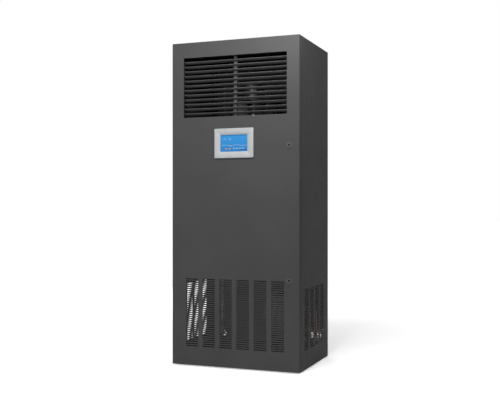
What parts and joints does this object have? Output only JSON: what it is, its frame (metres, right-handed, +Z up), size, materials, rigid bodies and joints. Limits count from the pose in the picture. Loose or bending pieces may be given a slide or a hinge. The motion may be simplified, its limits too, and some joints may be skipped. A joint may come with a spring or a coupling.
{
  "type": "data centre cooling cabinet",
  "caption": "Floor-standing cooling cabinet: full-height hinged door with a blade supply grille above, a touch display, slotted air intake below, and a fan, coil and compressor inside.",
  "frame": {"origin": "on the floor, at the middle of the cabinet's width and of its whole depth from display bezel to rear screw heads", "axes": "+X from the hinge side to the lock side, -Y out of the door, +Z up"},
  "size_m": [0.75, 0.566, 1.807],
  "materials": {
    "dark_paint": "fine textured powder coat",
    "frame_paint": "satin powder coat",
    "galvanised": "galvanised",
    "zinc": "bright zinc",
    "aluminium": "mill finish",
    "copper": "drawn copper",
    "brass": "machined",
    "black_paint": "gloss enamel",
    "black_plastic": "moulded",
    "grey_plastic": "moulded",
    "red_plastic": "moulded",
    "drier_paint": "enamel",
    "seal_rubber": "matt",
    "filter_cloth": "pleated",
    "display_glass": "lit"
  },
  "bodies": {
    "cabinet": {"base_frame": "frame_paint", "levelling_feet": "black_plastic", "frame_posts": "frame_paint", "top_frame": "frame_paint", "side_rails": "galvanised", "top_panel": "dark_paint", "side_panel_left": "dark_paint", "side_panel_right": "dark_paint", "rear_panel": "dark_paint", "pipe_entry_plate": "galvanised", "cable_gland": "black_plastic", "panel_screws": "black_paint", "fan_deck": "galvanised", "fan_inlet_nozzle": "galvanised", "fan_bracket": "galvanised", "fan_motor": "black_paint", "filter_frame": "galvanised", "filter_media": "filter_cloth", "coil_fins": "aluminium", "coil_casing": "galvanised", "coil_tubes": "copper", "drain_pan": "galvanised", "drain_pipe": "grey_plastic", "heater_elements": "aluminium", "control_box": "galvanised", "switchgear": "grey_plastic", "controller": "black_plastic", "inner_cover": "galvanised", "compressor": "black_paint", "compressor_mounts": "seal_rubber", "refrigerant_pipes": "copper", "filter_drier": "drier_paint", "expansion_valve": "brass", "hinge_brackets": "galvanised"},
    "door": {"door_shell": "dark_paint", "door_gasket": "seal_rubber", "door_stiffeners": "dark_paint", "hinge_bushings": "brass", "grille_frame": "black_paint", "grille_mullion": "dark_paint", "display_bezel": "grey_plastic", "display_screen": "display_glass", "display_housing": "black_plastic", "lock_housings": "black_plastic"},
    "impeller": {"fan_impeller": "aluminium"},
    "switch_handle": {"main_switch": "red_plastic"},
    "lock_upper": {"lock_core_upper": "zinc"},
    "lock_lower": {"lock_core_lower": "zinc"},
    "blade_01": {"blade_01": "dark_paint"},
    "blade_02": {"blade_02": "dark_paint"},
    "blade_03": {"blade_03": "dark_paint"},
    "blade_04": {"blade_04": "dark_paint"},
    "blade_05": {"blade_05": "dark_paint"},
    "blade_06": {"blade_06": "dark_paint"},
    "blade_07": {"blade_07": "dark_paint"},
    "blade_08": {"blade_08": "dark_paint"},
    "blade_09": {"blade_09": "dark_paint"},
    "blade_10": {"blade_10": "dark_paint"},
    "blade_11": {"blade_11": "dark_paint"},
    "blade_12": {"blade_12": "dark_paint"}
  },
  "joints": [
    {"name": "door_hinge", "type": "hinge", "parent": "cabinet", "child": "door", "pos_m": [-0.367, -0.267, 0], "axis": [0, 0, -1], "range_deg": [0, 105]},
    {"name": "impeller_spin", "type": "hinge", "parent": "cabinet", "child": "impeller", "pos_m": [0, 0.035, 1.44], "axis": [0, 0, 1], "continuous": true},
    {"name": "main_switch_turn", "type": "hinge", "parent": "cabinet", "child": "switch_handle", "pos_m": [-0.17, -0.11, 1.209], "axis": [0, 1, 0], "range_deg": [0, 90]},
    {"name": "lock_upper_turn", "type": "hinge", "parent": "door", "child": "lock_upper", "pos_m": [0.318, -0.244, 1.221], "axis": [0, -1, 0], "range_deg": [0, 90]},
    {"name": "lock_lower_turn", "type": "hinge", "parent": "door", "child": "lock_lower", "pos_m": [0.318, -0.244, 0.495], "axis": [0, -1, 0], "range_deg": [0, 90]},
    {"name": "blade_01_tilt", "type": "hinge", "parent": "door", "child": "blade_01", "pos_m": [0, -0.25478, 1.69555], "axis": [1, 0, 0], "range_deg": [-15, 35]},
    {"name": "blade_02_tilt", "type": "hinge", "parent": "door", "child": "blade_02", "pos_m": [0, -0.25478, 1.66935], "axis": [1, 0, 0], "range_deg": [-15, 35]},
    {"name": "blade_03_tilt", "type": "hinge", "parent": "door", "child": "blade_03", "pos_m": [0, -0.25478, 1.64315], "axis": [1, 0, 0], "range_deg": [-15, 35]},
    {"name": "blade_04_tilt", "type": "hinge", "parent": "door", "child": "blade_04", "pos_m": [0, -0.25478, 1.61695], "axis": [1, 0, 0], "range_deg": [-15, 35]},
    {"name": "blade_05_tilt", "type": "hinge", "parent": "door", "child": "blade_05", "pos_m": [0, -0.25478, 1.59075], "axis": [1, 0, 0], "range_deg": [-15, 35]},
    {"name": "blade_06_tilt", "type": "hinge", "parent": "door", "child": "blade_06", "pos_m": [0, -0.25478, 1.56455], "axis": [1, 0, 0], "range_deg": [-15, 35]},
    {"name": "blade_07_tilt", "type": "hinge", "parent": "door", "child": "blade_07", "pos_m": [0, -0.25478, 1.53835], "axis": [1, 0, 0], "range_deg": [-15, 35]},
    {"name": "blade_08_tilt", "type": "hinge", "parent": "door", "child": "blade_08", "pos_m": [0, -0.25478, 1.51215], "axis": [1, 0, 0], "range_deg": [-15, 35]},
    {"name": "blade_09_tilt", "type": "hinge", "parent": "door", "child": "blade_09", "pos_m": [0, -0.25478, 1.48595], "axis": [1, 0, 0], "range_deg": [-15, 35]},
    {"name": "blade_10_tilt", "type": "hinge", "parent": "door", "child": "blade_10", "pos_m": [0, -0.25478, 1.45975], "axis": [1, 0, 0], "range_deg": [-15, 35]},
    {"name": "blade_11_tilt", "type": "hinge", "parent": "door", "child": "blade_11", "pos_m": [0, -0.25478, 1.43355], "axis": [1, 0, 0], "range_deg": [-15, 35]},
    {"name": "blade_12_tilt", "type": "hinge", "parent": "door", "child": "blade_12", "pos_m": [0, -0.25478, 1.40735], "axis": [1, 0, 0], "range_deg": [-15, 35]}
  ]
}
